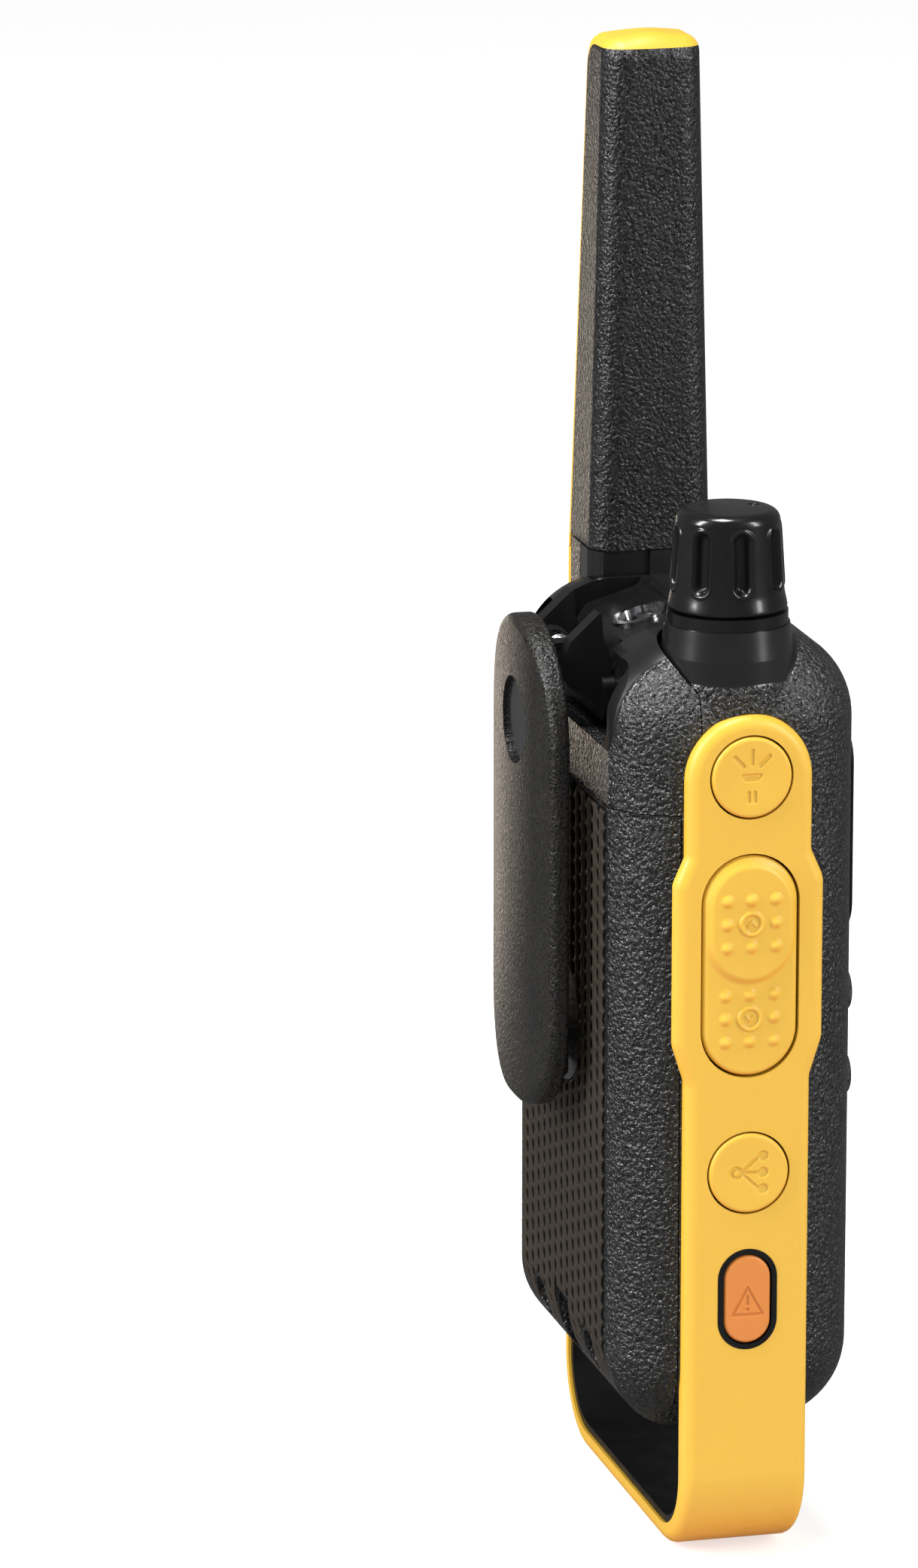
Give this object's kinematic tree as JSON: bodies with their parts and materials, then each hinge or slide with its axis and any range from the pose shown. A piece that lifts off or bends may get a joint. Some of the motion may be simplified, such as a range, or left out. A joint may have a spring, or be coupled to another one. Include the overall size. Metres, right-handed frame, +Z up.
{
  "type": "two way radio",
  "caption": "Rugged handheld two way radio with a fixed antenna, volume knob, side buttons, sprung belt clip, hinged socket cover and sliding battery door.",
  "frame": {"origin": "middle of the flat foot under the bottom loop", "axes": "+Z up along the antenna, -Y towards the front face, +Y towards the belt clip, +X the antenna side, -X the button side"},
  "size_m": [0.061, 0.0405, 0.1924],
  "materials": {
    "black_grain": "fine leather grain, satin",
    "black_satin": "smooth satin",
    "black_gloss": "smooth semi gloss",
    "sheath": "fine grained flexible sheath",
    "yellow": "satin with a fine grain",
    "orange": "satin",
    "badge": "satin disc with a plain ring",
    "steel": "bright",
    "contact_metal": "nickel plated",
    "copper": "enamelled winding",
    "inner_plastic": "plain moulded",
    "board": "solder mask",
    "clear": "clear polycarbonate",
    "mirror_cup": "metallised",
    "led": "phosphor",
    "screen": "reflective liquid crystal",
    "key_rubber": "smooth silicone",
    "mesh": "woven dust mesh",
    "speaker_cone": "plain",
    "cell_wrap": "shrink sleeve"
  },
  "bodies": {
    "housing": {"front_housing": "black_grain", "rear_housing": "black_grain", "loop_liner": "black_satin", "alert_ring": "black_satin", "clip_bracket": "black_satin", "saddle": "black_gloss", "knob_collar": "black_gloss", "antenna_sheath": "sheath", "side_frame": "yellow", "antenna_face": "yellow", "clip_pin": "steel", "clip_spring": "steel", "housing_screws": "steel", "charge_socket": "steel", "shield_can": "steel", "battery_contacts": "steel", "key_domes": "steel", "antenna_core": "copper", "battery_tray": "inner_plastic", "headset_jack": "inner_plastic", "volume_encoder": "inner_plastic", "side_switches": "inner_plastic", "main_board": "board", "side_switch_board": "board", "torch_lens": "clear", "display_lens": "clear", "torch_reflector": "mirror_cup", "torch_bezel": "mirror_cup", "torch_led": "led", "display_module": "screen", "speaker_mesh": "mesh", "speaker": "speaker_cone", "microphone": "speaker_cone", "cell_left": "cell_wrap", "cell_middle": "cell_wrap", "cell_right": "cell_wrap"},
    "knob": {"knob": "black_gloss", "knob_shaft": "steel"},
    "torch_button": {"torch_button": "yellow"},
    "ptt_rocker": {"ptt_rocker": "yellow"},
    "pair_button": {"pair_button": "yellow"},
    "alert_button": {"alert_button": "orange"},
    "key_select": {"key_select": "key_rubber"},
    "key_power": {"key_power": "key_rubber"},
    "key_menu": {"key_menu": "key_rubber"},
    "key_call": {"key_call": "key_rubber"},
    "key_scan": {"key_scan": "key_rubber"},
    "socket_cover": {"socket_cover": "yellow"},
    "belt_clip": {"clip_plate": "black_grain", "clip_badge": "badge"},
    "battery_door": {"battery_door": "black_grain", "charge_contacts": "contact_metal", "door_latch": "black_satin", "door_badge": "badge"}
  },
  "joints": [
    {"name": "knob_turn", "type": "hinge", "parent": "housing", "child": "knob", "pos_m": [-0.02, 0.0005, 0.13], "axis": [0, 0, -1], "range_deg": [0, 300]},
    {"name": "torch_press", "type": "slide", "parent": "housing", "child": "torch_button", "axis": [1, 0, 0], "range_m": [0, 0.0007], "stiffness_N_per_m": 2500},
    {"name": "ptt_rock", "type": "hinge", "parent": "housing", "child": "ptt_rocker", "pos_m": [-0.0284, 0, 0.0803], "axis": [0, 1, 0], "range_deg": [-2, 2], "stiffness_Nm_per_rad": 0.5},
    {"name": "pair_press", "type": "slide", "parent": "housing", "child": "pair_button", "axis": [1, 0, 0], "range_m": [0, 0.0007], "stiffness_N_per_m": 2500},
    {"name": "alert_press", "type": "slide", "parent": "housing", "child": "alert_button", "axis": [1, 0, 0], "range_m": [0, 0.0007], "stiffness_N_per_m": 2500},
    {"name": "select_press", "type": "slide", "parent": "housing", "child": "key_select", "axis": [0, 1, 0], "range_m": [0, 0.0006], "stiffness_N_per_m": 2500},
    {"name": "power_press", "type": "slide", "parent": "housing", "child": "key_power", "axis": [0, 1, 0], "range_m": [0, 0.0006], "stiffness_N_per_m": 2500},
    {"name": "menu_press", "type": "slide", "parent": "housing", "child": "key_menu", "axis": [0, 1, 0], "range_m": [0, 0.0006], "stiffness_N_per_m": 2500},
    {"name": "call_press", "type": "slide", "parent": "housing", "child": "key_call", "axis": [0, 1, 0], "range_m": [0, 0.0006], "stiffness_N_per_m": 2500},
    {"name": "scan_press", "type": "slide", "parent": "housing", "child": "key_scan", "axis": [0, 1, 0], "range_m": [0, 0.0006], "stiffness_N_per_m": 2500},
    {"name": "cover_open", "type": "hinge", "parent": "housing", "child": "socket_cover", "pos_m": [0.03, 0, 0.0208], "axis": [0, 1, 0], "range_deg": [0, 100]},
    {"name": "clip_open", "type": "hinge", "parent": "housing", "child": "belt_clip", "pos_m": [0, 0.0169, 0.1156], "axis": [1, 0, 0], "range_deg": [0, 20], "stiffness_Nm_per_rad": 0.3, "springref_deg": -20.05},
    {"name": "door_slide", "type": "slide", "parent": "housing", "child": "battery_door", "axis": [0, 0, -1], "range_m": [0, 0.012]}
  ]
}
